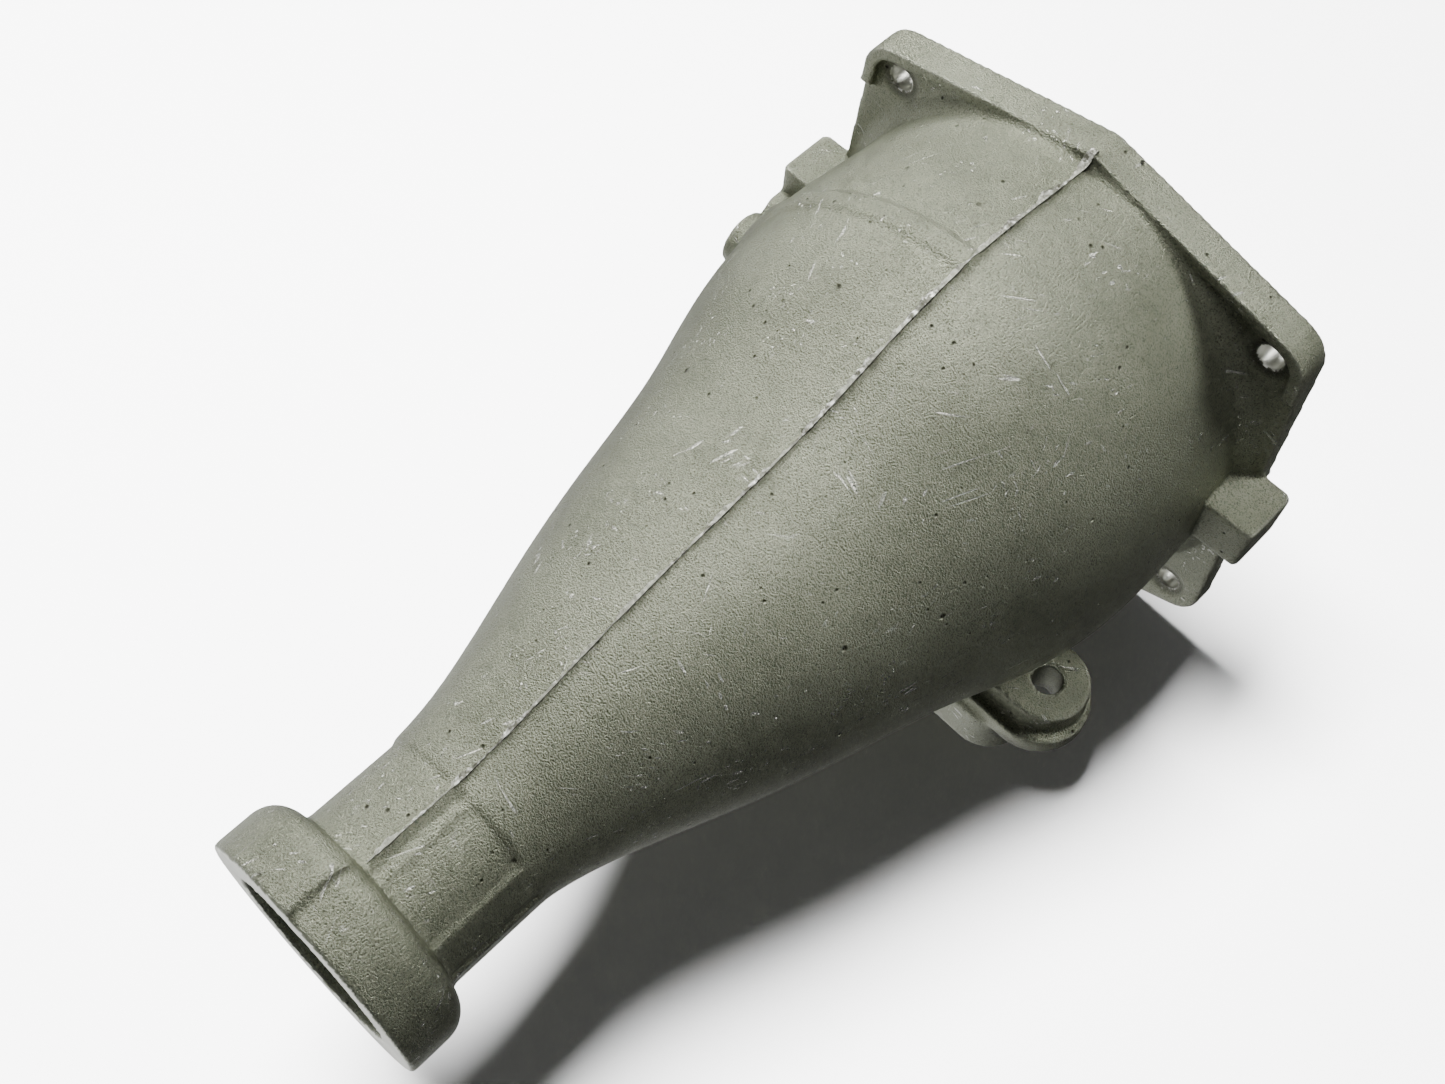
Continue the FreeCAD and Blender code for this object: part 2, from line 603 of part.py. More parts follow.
def speedo_driven_gear():
    """Pinion with its spindle; a tooth gap faces the drive gear's tooth."""
    gear = helical_gear(SPEEDO_FOOT, OUTWARD, ACROSS * -1, DRIVEN_PITCH_RADIUS, DRIVEN_TEETH,
                        DRIVEN_HELIX, DRIVEN_WIDTH, math.pi / DRIVEN_TEETH)
    spindle = bar(SPINDLE_RADIUS, SPEEDO_FOOT, OUTWARD, 0, SPEEDO_BOSS[1] - 8)
    drive = Part.makeBox(2.4, 2.4, 12.0, Vector(-1.2, -1.2, 0))
    drive.Placement = FreeCAD.Placement(SPEEDO_FOOT + OUTWARD * (SPEEDO_BOSS[1] - 8 - 11.9),
                                        FreeCAD.Rotation(UP, OUTWARD))
    return gear.fuse(spindle).cut(drive)


def speedo_sleeve():
    """Guide sleeve of the pinion: slim nose, O-ring groove, flange and threaded cable end."""
    end = SPEEDO_BOSS[1]
    parts = [
        bar(SLEEVE_NOSE_RADIUS, SPEEDO_FOOT, OUTWARD, 12, 34),
        bar(SLEEVE_RADIUS, SPEEDO_FOOT, OUTWARD, 34, end),
        bar(SLEEVE_FLANGE_RADIUS, SPEEDO_FOOT, OUTWARD, end, end + SLEEVE_FLANGE_THICKNESS),
        bar(CABLE_END_RADIUS, SPEEDO_FOOT, OUTWARD, end + SLEEVE_FLANGE_THICKNESS, end + 18),
    ]
    body = parts[0].multiFuse(parts[1:])
    body = body.cut(bar(SPINDLE_RADIUS + 0.06, SPEEDO_FOOT, OUTWARD, 5, end))
    body = body.cut(bar(6.0, SPEEDO_FOOT, OUTWARD, end - 14, end + 20))
    groove = sleeve(SLEEVE_RADIUS + 1, SLEEVE_RADIUS - 2.4, SPEEDO_FOOT, OUTWARD, end - 24, end - 20.4)
    return body.cut(groove).cut(bar(SLEEVE_NOSE_RADIUS - 1.5, SPEEDO_FOOT, OUTWARD, 14, 18))


def speedo_o_ring():
    """Rubber O-ring in the sleeve's groove."""
    middle = SPEEDO_BOSS[1] - 22.2
    return Part.makeTorus(SLEEVE_RADIUS - 1.2, 1.2, SPEEDO_FOOT + OUTWARD * middle, OUTWARD)


def speedo_spindle_seal():
    """Small rubber seal round the pinion's spindle, in the sleeve's nose."""
    return sleeve(SLEEVE_NOSE_RADIUS - 1.5, SPINDLE_RADIUS + 0.06, SPEEDO_FOOT, OUTWARD, 14, 18)


def speedo_clamp():
    """Forked plate that holds the sleeve's flange down, on a spacer beside the sleeve."""
    boss_end = SPEEDO_BOSS[1]
    start = boss_end + SLEEVE_FLANGE_THICKNESS
    hub = CABLE_END_RADIUS + 0.2
    plate = hull_plate([(0, 0, SLEEVE_FLANGE_RADIUS - 2), (-CLAMP_BOLT_OFFSET, 0, CLAMP_LOBE_RADIUS)],
                       SPEEDO_FOOT + OUTWARD * start, FORWARD, ACROSS, OUTWARD, CLAMP_SHEET)
    slot = hull_plate([(0, 0, hub), (30, 0, hub)], SPEEDO_FOOT + OUTWARD * (start - 1),
                      FORWARD, ACROSS, OUTWARD, CLAMP_SHEET + 2)
    spacer = bar(CLAMP_LOBE_RADIUS - 1.5, CLAMP_BOLT_ORIGIN, OUTWARD, boss_end, start)
    spacer = spacer.cut(bar(SLEEVE_FLANGE_RADIUS + 0.3, SPEEDO_FOOT, OUTWARD, boss_end - 1, start + 1))
    hole = bar(CLAMP_BOLT_RADIUS + 0.3, CLAMP_BOLT_ORIGIN, OUTWARD, boss_end - 1, start + 5)
    return plate.cut(slot).fuse(spacer).cut(hole)


def hex_head(radius, origin, direction, start, end):
    """Six-sided head or nut along a direction; radius is half the width across flats."""
    corner = radius / math.cos(math.pi / 6)
    zero = FORWARD
    side = direction.cross(zero)
    base = origin + direction * start
    turns = [math.pi * k / 3 for k in range(7)]
    points = [base + zero * (corner * math.cos(a)) + side * (corner * math.sin(a)) for a in turns]
    return Part.Face(Part.makePolygon(points)).extrude(direction * (end - start))


def speedo_clamp_bolt():
    """Hex bolt of the clamp."""
    top = SPEEDO_BOSS[1] + SLEEVE_FLANGE_THICKNESS + CLAMP_SHEET
    head = hex_head(5.0, CLAMP_BOLT_ORIGIN, OUTWARD, top, top + 4.5)
    return head.fuse(bar(CLAMP_BOLT_RADIUS, CLAMP_BOLT_ORIGIN, OUTWARD, top - 20, top + 1))


# ---------------------------------------------------------------- rear seal
def seal_case():
    """Pressed steel cup of the oil seal."""
    wall = ring(SEAL_RADIUS, SEAL_RADIUS - SEAL_SHEET, *SEAL_Y)
    back = ring(SEAL_RADIUS, YOKE_RADIUS + 4, SEAL_Y[0], SEAL_Y[0] + SEAL_SHEET)
    return wall.fuse(back)


def seal_lip():
    """Rubber lip moulded into the cup, with a groove for its spring."""
    body = ring(SEAL_RADIUS - SEAL_SHEET, YOKE_RADIUS + 4, SEAL_Y[0] + SEAL_SHEET, SEAL_Y[0] + 4)
    lip = ring(YOKE_RADIUS + 4, YOKE_RADIUS + 0.1, SEAL_Y[0] + 0.5, SEAL_Y[1] - 1)
    return body.fuse(lip).cut(seal_spring_tool(0))


def seal_spring_tool(extra):
    """Doughnut round the lip for the garter spring and its groove."""
    return Part.makeTorus(YOKE_RADIUS + 4, 1.2 + extra, Vector(0, SEAL_Y[1] - 4, 0), FORWARD)


# ---------------------------------------------------------------- reverse shift shaft
def lever_plate(length, hub, tip, start, eye):
    """Flat lever that points towards the tail from the shift shaft, with a bored hub and an eye."""
    plate = hull_plate([(0, 0, hub), (-length, 0, tip)], SHIFT_ORIGIN + OUTWARD * start,
                       FORWARD, ACROSS, OUTWARD, LEVER_THICKNESS)
    end = start + LEVER_THICKNESS
    hub_bore = bar(SHIFT_THREAD_RADIUS, SHIFT_ORIGIN, OUTWARD, start - 1, end + 1)
    return plate.cut(hub_bore).cut(bar(eye, SHIFT_ORIGIN - FORWARD * length, OUTWARD, start - 1, end + 1))


def shift_shaft():
    """Shaft with a seat for each lever and a round groove for the detent ball."""
    inner_end = INNER_LEVER_START + LEVER_THICKNESS
    parts = [
        bar(SHIFT_THREAD_RADIUS, SHIFT_ORIGIN, OUTWARD, INNER_LEVER_START - 2, inner_end),
        bar(SHIFT_RADIUS, SHIFT_ORIGIN, OUTWARD, inner_end, OUTER_LEVER_START),
        bar(SHIFT_THREAD_RADIUS, SHIFT_ORIGIN, OUTWARD, OUTER_LEVER_START, SHIFT_SHAFT_END),
    ]
    shaft = parts[0].multiFuse(parts[1:])
    groove = Part.makeTorus(DETENT_BALL_PLACE, DETENT_BALL_RADIUS + DETENT_GAP, DETENT_ORIGIN, OUTWARD)
    return shaft.cut(groove)


def inner_shift_lever():
    """Lever inside the casting that moves the reverse fork."""
    return lever_plate(INNER_LEVER_LENGTH, 11.0, 7.0, INNER_LEVER_START, 3.0)


def inner_lever_pin():
    """Headed pin of the inner lever that reaches towards the reverse fork."""
    axis = SHIFT_ORIGIN - FORWARD * INNER_LEVER_LENGTH
    shank = bar(3.0, axis, OUTWARD, INNER_LEVER_START, INNER_LEVER_START + LEVER_THICKNESS)
    return shank.fuse(bar(5.0, axis, OUTWARD, INNER_LEVER_START - 9, INNER_LEVER_START))


def outer_shift_lever():
    """Lever outside the casting, with an eye for the shift rod."""
    return lever_plate(OUTER_LEVER_LENGTH, 13.0, 8.0, OUTER_LEVER_START, 4.0)


def lever_washer():
    """Washer under the lever nut."""
    start = OUTER_LEVER_START + LEVER_THICKNESS
    return sleeve(10.0, SHIFT_THREAD_RADIUS, SHIFT_ORIGIN, OUTWARD, start, start + 1.6)


def lever_nut():
    """Nut that holds the outer lever."""
    start = OUTER_LEVER_START + LEVER_THICKNESS + 1.6
    nut = hex_head(8.0, SHIFT_ORIGIN, OUTWARD, start, start + 8)
    return nut.cut(bar(SHIFT_THREAD_RADIUS, SHIFT_ORIGIN, OUTWARD, start - 1, start + 9))


def shift_shaft_bushes():
    """Two bushes between the casting and the shift shaft."""
    rings = [sleeve(SHIFT_BUSH_RADIUS, SHIFT_RADIUS + SHIFT_FIT, SHIFT_ORIGIN, OUTWARD, *span)
             for span in SHIFT_BUSHES]
    return Part.makeCompound(rings)


def shift_shaft_seal():
    """Rubber seal at the outer end of the shift shaft's bore."""
    return sleeve(SHIFT_BUSH_RADIUS, SHIFT_RADIUS + SHIFT_FIT, SHIFT_ORIGIN, OUTWARD, *SHIFT_SEAL)


# ---------------------------------------------------------------- detent
def detent_ball():
    """Ball that sits in the shaft's groove."""
    return Part.makeSphere(DETENT_BALL_RADIUS, DETENT_ORIGIN + DETENT_WAY * DETENT_BALL_PLACE)


def detent_spring():
    """Coil spring between the ball and the plug."""
    start, length = DETENT_SPRING
    coil_radius = 2.5
    helix = Part.Wire(Part.makeHelix(2.5, length, coil_radius))
    section = Part.Wire(Part.makeCircle(0.6, Vector(coil_radius, 0, 0), FORWARD))
    coil = helix.makePipeShell([section], True, True)
    coil.Placement = FreeCAD.Placement(DETENT_ORIGIN + DETENT_WAY * start, FreeCAD.Rotation(UP, DETENT_WAY))
    return coil


def detent_plug():
    """Screw plug that closes the detent bore."""
    thread = bar(PLUG_RADIUS, DETENT_ORIGIN, DETENT_WAY, PLUG_START + 0.2, DETENT_REACH)
    head = bar(DETENT_BOSS_RADIUS - 1.5, DETENT_ORIGIN, DETENT_WAY, DETENT_REACH, DETENT_REACH + 4)
    socket = bar(2.5, DETENT_ORIGIN, DETENT_WAY, DETENT_REACH + 1, DETENT_REACH + 5)
    return thread.fuse(head).cut(socket)


def dowel_pins():
    """Two locating pins in the flange's front face."""
    places = [Vector(side * DOWEL_PLACE[0], 0, DOWEL_PLACE[1]) for side in (-1, 1)]
    pins = [bar(DOWEL_RADIUS, place, FORWARD, -DOWEL_SUNK, DOWEL_PROUD) for place in places]
    return Part.makeCompound(pins)


# ---------------------------------------------------------------- every sub-part, by name
SEAT_END = BEARING_FRONT - BEARING_WIDTH
PARTS = {
    "extension_housing": extension_housing(),
    "dowel_pins": dowel_pins(),
    "yoke_bush": ring(BUSH_OUTER_RADIUS, YOKE_RADIUS + 0.05, *BUSH_Y),
    "seal_case": seal_case(),
    "seal_lip": seal_lip(),
    "seal_garter_spring": seal_spring_tool(-0.1),
    "bearing_outer_race": race(BEARING_OUTER_RADIUS, OUTER_RACE_BORE),
    "bearing_retaining_ring": split_ring(BEARING_OUTER_RADIUS + 1.9, OUTER_RACE_BORE + 2,
                                         *RETAINER_GROOVE, 9),
    "bearing_inner_race": race(INNER_RACE_RADIUS, BEARING_BORE_RADIUS),
    "bearing_cage": bearing_cage(),
    "bearing_balls": bearing_balls(),
    "bearing_shaft_snap_ring": split_ring(20.5, BEARING_BORE_RADIUS - 1.5, SEAT_END - 2, SEAT_END, 7),
    "output_shaft": output_shaft(),
    "speedo_drive_gear": speedo_drive_gear(),
    "speedo_gear_clip": split_ring(20.0, GEAR_SEAT_RADIUS, SPEEDO_Y - DRIVE_WIDTH / 2 - 2,
                                   SPEEDO_Y - DRIVE_WIDTH / 2, 6),
    "speedo_driven_gear": speedo_driven_gear(),
    "speedo_sleeve": speedo_sleeve(),
    "speedo_sleeve_o_ring": speedo_o_ring(),
    "speedo_spindle_seal": speedo_spindle_seal(),
    "speedo_clamp": speedo_clamp(),
    "speedo_clamp_bolt": speedo_clamp_bolt(),
    "shift_shaft": shift_shaft(),
    "shift_shaft_bushes": shift_shaft_bushes(),
    "shift_shaft_seal": shift_shaft_seal(),
    "inner_shift_lever": inner_shift_lever(),
    "inner_lever_pin": inner_lever_pin(),
    "outer_shift_lever": outer_shift_lever(),
    "lever_washer": lever_washer(),
    "lever_nut": lever_nut(),
    "detent_ball": detent_ball(),
    "detent_spring": detent_spring(),
    "detent_plug": detent_plug(),
}
for part_name, part_shape in PARTS.items():
    save(part_name, part_shape)
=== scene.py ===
"""Looks of the cast extension housing and its inner parts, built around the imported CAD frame."""
import bpy
import json
import math
import numpy
from mathutils import Matrix, Vector, noise
from mathutils.bvhtree import BVHTree


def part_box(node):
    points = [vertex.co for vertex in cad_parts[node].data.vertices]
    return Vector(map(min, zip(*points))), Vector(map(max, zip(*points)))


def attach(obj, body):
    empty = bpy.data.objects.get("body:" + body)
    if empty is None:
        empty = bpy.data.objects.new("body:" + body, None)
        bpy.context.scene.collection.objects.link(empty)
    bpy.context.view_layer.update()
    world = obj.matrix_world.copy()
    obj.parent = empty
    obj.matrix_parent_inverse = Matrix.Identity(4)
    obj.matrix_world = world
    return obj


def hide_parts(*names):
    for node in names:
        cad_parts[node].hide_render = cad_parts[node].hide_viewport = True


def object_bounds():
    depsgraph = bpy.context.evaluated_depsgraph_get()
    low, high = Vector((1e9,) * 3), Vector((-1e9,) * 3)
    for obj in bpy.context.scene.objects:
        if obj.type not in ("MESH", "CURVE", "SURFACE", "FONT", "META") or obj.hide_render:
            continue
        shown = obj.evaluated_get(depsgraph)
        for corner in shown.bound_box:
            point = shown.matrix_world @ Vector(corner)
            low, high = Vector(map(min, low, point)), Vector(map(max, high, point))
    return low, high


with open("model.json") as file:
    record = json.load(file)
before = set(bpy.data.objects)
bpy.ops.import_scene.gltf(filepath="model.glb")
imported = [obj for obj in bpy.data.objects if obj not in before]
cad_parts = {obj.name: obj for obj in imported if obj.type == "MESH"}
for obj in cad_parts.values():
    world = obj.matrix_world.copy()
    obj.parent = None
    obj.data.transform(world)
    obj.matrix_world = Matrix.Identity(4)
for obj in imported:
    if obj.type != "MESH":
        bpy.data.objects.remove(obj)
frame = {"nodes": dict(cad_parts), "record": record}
cad_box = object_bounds()
LOW, HIGH = cad_box
MM = 0.001

# ---- camera: azimuth and elevation of the line of sight, roll about it ----
AZIMUTH = math.radians(39.16)
ELEVATION = math.radians(62.08)
ROLL = math.radians(6.13)
DISTANCE = 0.6834
AIM = Vector((-0.0182, -0.1835, -0.0078))
LENS = 43.84

# ---- cast skin: colours, pattern sizes in waves per metre, and depths ----
OLIVE_DARK = (0.148, 0.158, 0.112)
OLIVE_LIGHT = (0.275, 0.288, 0.214)
MOTTLE_LIGHT = (0.33, 0.345, 0.258)
GRAIN_DARK = (0.075, 0.080, 0.056)
OIL = (0.06, 0.06, 0.045)
WORN_EDGE = (0.50, 0.51, 0.44)
# painted shade: the colour that darkens the creases and inner corners of the skin
CREASE_SHADE = (0.12, 0.12, 0.09)
SCRATCH_BRIGHT = (0.62, 0.62, 0.58)
PIT_DARK = (0.05, 0.05, 0.035)
GRAIN_WAVES = 1400.0
MOTTLE_WAVES = 190.0
STAIN_WAVES = 14.0
GRAIN_DEPTH = 0.75 * MM
# outer and inner radius of the oily ring round a bolt hole
DIRT_RING = (10.5 * MM, 7.5 * MM)
# cells per metre, radius as a share of a cell, share of the cells that hold a spot
SPECKS = (300.0, 0.26, 0.05)
PITS = (70.0, 0.10, 0.10)
CUT_PITS = (220.0, 0.22, 0.08)
SCRATCH_TURNS = ((0.2, 0.1, 0.5), (0.1, 0.3, -0.4), (0.4, 0.2, 1.5), (0.1, 0.5, 2.3))
SCRATCH_LONG = (1.0, 26.0, 1.0)
PATCH_LONG = (1.0, 2.0, 1.0)

# ---- studio: place, size and power of each light ----
KEY = ((-0.55, -0.25, 1.75), 0.7, 400)
SIDE = ((-1.2, 0.4, 1.1), 1.0, 68)
FRONT = ((0.70, 0.85, 1.1), 0.5, 22)
# side that light comes back from off the floor, and its weakest and strongest value
BOUNCE_FROM = (-0.5, -0.45, -0.74)
BOUNCE_RANGE = (0.08, 1.9)
# strength of the pale background, and the distances over which the floor starts to glow as strongly
BACKGROUND = 6.0
FLOOR_GLOW = (0.8, 3.5)
FLOOR_HALF = 12.0

# ---- casting ----
VOXEL = 1.05 * MM
SMOOTH_STEPS = 9
TAIL_Y = LOW[1]
FLANGE_BACK = -12 * MM
COLLAR_FRONT = TAIL_Y + 30 * MM
BEARING_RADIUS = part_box("bearing_outer_race")[1][0] + 0.4 * MM
WEB_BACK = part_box("bearing_outer_race")[0][1] - 5 * MM
SEAT_MARGIN = 3 * MM
# size of the flash in mm at the flange, and how much of it is lost on the way to the collar
FLASH_HEIGHT, HEIGHT_LOSS = 1.5, 0.9
FLASH_WIDTH, WIDTH_LOSS = 2.6, 1.7
FLASH_STEP = 0.6 * MM
COARSE_WAVES, FINE_WAVES, TEAR_WAVES = 90, 520, 650
# drop of the right half of the skin at the parting line, and where it starts and dies out
MISMATCH = 0.7 * MM
MISMATCH_START = 0.8 * MM
MISMATCH_REACH = 26 * MM
NECK_OUTSIDE = 34 * MM
# radius round a hole that stays true to size, and radius that holds only the hole's wall
HOLE_TRUE = 7.0 * MM
HOLE_WALL = 5.9 * MM
LUG_HALF = 12 * MM
FACE_SKIN = 0.6 * MM
FACE_SQUARE = 0.9
ABOVE_ALL = 0.3
MOUNTS = {mount["name"]: mount["pos_m"] for mount in frame["record"]["mounts"]}
SPACING = {mount["name"]: mount["dims"].get("spacing_x_mm", 0) * MM for mount in frame["record"]["mounts"]}
BOLT_HOLES = [(SPACING[name] / 2, MOUNTS[name][2]) for name in ("case_bolts_upper", "case_bolts_lower")]
LUG_HOLES = [(MOUNTS[name][0], MOUNTS[name][1], MOUNTS[name][2] - LUG_HALF, MOUNTS[name][2] + LUG_HALF)
             for name in ("mount_lug_right", "mount_lug_left")]


# ---------------------------------------------------------------- node helpers
def link(tree, source, target):
    """Join two sockets."""
    tree.links.new(source, target)


def put(tree, kind, **sockets):
    """Add a node; each keyword sets or feeds the input socket of that name."""
    node = tree.nodes.new(kind)
    for name, value in sockets.items():
        socket = node.inputs[name.replace("_", " ")]
        if isinstance(value, bpy.types.NodeSocket):
            link(tree, value, socket)
        else:
            socket.default_value = value
    return node


def noise_value(tree, where, scale, detail=3.0, roughness=0.5):
    """Noise factor at a number of waves per metre."""
    return put(tree, "ShaderNodeTexNoise", Vector=where, Scale=scale, Detail=detail,
               Roughness=roughness).outputs["Fac"]


def ramp(tree, value, low, high, start=0.0, end=1.0):
    """Map a value from low..high to start..end, clamped."""
    node = put(tree, "ShaderNodeMapRange", Value=value)
    for name, number in (("From Min", low), ("From Max", high), ("To Min", start), ("To Max", end)):
        node.inputs[name].default_value = number
    return node.outputs["Result"]


def maths(tree, kind, first, second):
    """One arithmetic step on values or numbers."""
    node = tree.nodes.new("ShaderNodeMath")
    node.operation = kind
    for socket, value in zip(node.inputs, (first, second)):
        if isinstance(value, bpy.types.NodeSocket):
            link(tree, value, socket)
        else:
            socket.default_value = value
    return node.outputs[0]


def blend(tree, amount, first, second):
    """Mix of two colours by an amount."""
    node = tree.nodes.new("ShaderNodeMix")
    node.data_type = "RGBA"
    link(tree, amount, node.inputs["Factor"])
    for name, value in (("A", first), ("B", second)):
        socket = [item for item in node.inputs if item.name == name and item.type == "RGBA"][0]
        if isinstance(value, bpy.types.NodeSocket):
            link(tree, value, socket)
        else:
            socket.default_value = (*value, 1)
    return [item for item in node.outputs if item.type == "RGBA"][0]


def stretched(tree, where, turn, scale):
    """Turned coordinates in which a pattern runs long along the axes that have a large scale."""
    node = put(tree, "ShaderNodeMapping", Vector=where)
    node.vector_type = "TEXTURE"
    node.inputs["Rotation"].default_value = turn
    node.inputs["Scale"].default_value = scale
    return node.outputs["Vector"]


def material(name):
    """Empty procedural material with object coordinates: (material, tree, shader, coordinates)."""
    item = bpy.data.materials.new(name)
    item.use_nodes = True
    tree = item.node_tree
    shader = tree.nodes["Principled BSDF"]
    where = tree.nodes.new("ShaderNodeTexCoord").outputs["Object"]
    return item, tree, shader, where


def bump(tree, height, strength, distance):
    """Bump normal from a height value."""
    return put(tree, "ShaderNodeBump", Height=height, Strength=strength, Distance=distance).outputs["Normal"]


# ---------------------------------------------------------------- materials
def scratch_mask(tree, where):
    """Short thin scratches in several directions."""
    total = None
    for index, turn in enumerate(SCRATCH_TURNS):
        lines = noise_value(tree, stretched(tree, where, turn, SCRATCH_LONG), 620.0 + 60.0 * index, 0.0)
        patch = noise_value(tree, stretched(tree, where, turn, PATCH_LONG), 45.0 + 9.0 * index, 1.0)
        one = maths(tree, "MULTIPLY", ramp(tree, lines, 0.72, 0.78), ramp(tree, patch, 0.58, 0.66))
        total = one if total is None else maths(tree, "MAXIMUM", total, one)
    return total


def pit_mask(tree, where, scale, size, share):
    """Small round spots in a share of the pattern's cells."""
    cells = put(tree, "ShaderNodeTexVoronoi", Vector=where, Scale=scale)
    near = ramp(tree, cells.outputs["Distance"], size, size * 0.4)
    chosen = put(tree, "ShaderNodeSeparateColor", Color=cells.outputs["Color"]).outputs[0]
    return maths(tree, "MULTIPLY", near, ramp(tree, chosen, 1 - share, 1 - share + 0.02))


def hole_dirt(tree, where):
    """Dark oily ring round each bolt hole of the flange."""
    parts = put(tree, "ShaderNodeSeparateXYZ", Vector=where)
    mirrored = put(tree, "ShaderNodeCombineXYZ", X=maths(tree, "ABSOLUTE", parts.outputs["X"], 0.0),
                   Z=parts.outputs["Z"]).outputs["Vector"]
    total = None
    for hole_x, hole_z in BOLT_HOLES:
        gap = tree.nodes.new("ShaderNodeVectorMath")
        gap.operation = "DISTANCE"
        link(tree, mirrored, gap.inputs[0])
        gap.inputs[1].default_value = (hole_x, 0, hole_z)
        ring = ramp(tree, gap.outputs["Value"], *DIRT_RING)
        total = ring if total is None else maths(tree, "MAXIMUM", total, ring)
    return total


def cast_aluminium():
    """Old cast skin: fine grain, dull olive grey, stains, pale scratches, small dark pits, worn edges,
    painted shade in creases.
    """
    item, tree, shader, where = material("cast_aluminium")
    grain = noise_value(tree, where, GRAIN_WAVES, 2.0, 0.7)
    mottle = noise_value(tree, where, MOTTLE_WAVES, 4.0, 0.7)
    stain = noise_value(tree, where, STAIN_WAVES, 5.0, 0.6)
    scratches = scratch_mask(tree, where)
    pits = maths(tree, "MAXIMUM", pit_mask(tree, where, *SPECKS), pit_mask(tree, where, *PITS))
    point = tree.nodes.new("ShaderNodeNewGeometry").outputs["Pointiness"]

    colour = blend(tree, ramp(tree, stain, 0.30, 0.70), OLIVE_DARK, OLIVE_LIGHT)
    colour = blend(tree, ramp(tree, mottle, 0.35, 0.75, 0.0, 0.5), colour, MOTTLE_LIGHT)
    colour = blend(tree, ramp(tree, grain, 0.50, 0.34, 0.0, 0.75), colour, GRAIN_DARK)
    colour = blend(tree, ramp(tree, hole_dirt(tree, where), 0.0, 1.0, 0.0, 0.7), colour, OIL)
    colour = blend(tree, ramp(tree, point, 0.52, 0.60, 0.0, 0.7), colour, WORN_EDGE)
    # painted shade: darker where pointiness is low, in the creases and inner corners
    colour = blend(tree, ramp(tree, point, 0.485, 0.43, 0.0, 0.6), colour, CREASE_SHADE)
    colour = blend(tree, ramp(tree, scratches, 0.0, 1.0, 0.0, 0.6), colour, SCRATCH_BRIGHT)
    colour = blend(tree, pits, colour, PIT_DARK)
    link(tree, colour, shader.inputs["Base Color"])

    shader.inputs["Metallic"].default_value = 0.97
    polish = maths(tree, "MULTIPLY", scratches, 0.15)
    rough = maths(tree, "SUBTRACT", ramp(tree, mottle, 0.3, 0.7, 0.28, 0.42), polish)
    link(tree, rough, shader.inputs["Roughness"])
    depth = maths(tree, "SUBTRACT", maths(tree, "ADD", grain, maths(tree, "MULTIPLY", mottle, 0.2)),
                  maths(tree, "MULTIPLY", pits, 1.5))
    link(tree, bump(tree, depth, 1.0, GRAIN_DEPTH), shader.inputs["Normal"])
    return item


def machined_aluminium():
    """Cut faces of the casting: paler, with fine tool lines and grey stains."""
    item, tree, shader, where = material("machined_aluminium")
    lines = noise_value(tree, stretched(tree, where, (0, 0, 0.6), (1.0, 1.0, 50.0)), 2600.0, 1.0)
    stain = noise_value(tree, where, 45.0, 5.0, 0.6)
    colour = blend(tree, ramp(tree, stain, 0.35, 0.70), (0.34, 0.345, 0.30), (0.58, 0.585, 0.54))
    colour = blend(tree, pit_mask(tree, where, *CUT_PITS), colour, (0.10, 0.10, 0.08))
    link(tree, colour, shader.inputs["Base Color"])
    shader.inputs["Metallic"].default_value = 0.75
    link(tree, ramp(tree, stain, 0.3, 0.7, 0.34, 0.52), shader.inputs["Roughness"])
    link(tree, bump(tree, lines, 0.25, 0.1 * MM), shader.inputs["Normal"])
    return item


def flash_metal():
    """Torn flash along the parting line: bright worn top, dirty foot."""
    item, tree, shader, where = material("flash_metal")
    torn = noise_value(tree, where, 420.0, 4.0, 0.7)
    patch = noise_value(tree, where, 60.0, 2.0)
    colour = blend(tree, ramp(tree, torn, 0.47, 0.64), (0.045, 0.045, 0.034), (0.36, 0.365, 0.33))
    colour = blend(tree, ramp(tree, patch, 0.45, 0.55), (0.12, 0.122, 0.10), colour)
    link(tree, colour, shader.inputs["Base Color"])
    shader.inputs["Metallic"].default_value = 0.7
    link(tree, ramp(tree, torn, 0.3, 0.7, 0.55, 0.34), shader.inputs["Roughness"])
    link(tree, bump(tree, torn, 0.8, 0.4 * MM), shader.inputs["Normal"])
    return item


def plain(name, dark, light, metallic, roughness, wave, turn_lines=False):
    """Material with a soft mottle between two colours and fine grain or turning lines."""
    item, tree, shader, where = material(name)
    mottle = noise_value(tree, where, wave, 4.0, 0.6)
    link(tree, blend(tree, ramp(tree, mottle, 0.35, 0.68), dark, light), shader.inputs["Base Color"])
    shader.inputs["Metallic"].default_value = metallic
    link(tree, ramp(tree, mottle, 0.3, 0.7, roughness - 0.06, roughness + 0.06), shader.inputs["Roughness"])
    across = stretched(tree, where, (0, 0, 0), (25.0, 1.0, 25.0)) if turn_lines else where
    link(tree, bump(tree, noise_value(tree, across, 3200.0, 1.0), 0.18, 0.05 * MM), shader.inputs["Normal"])
    return item


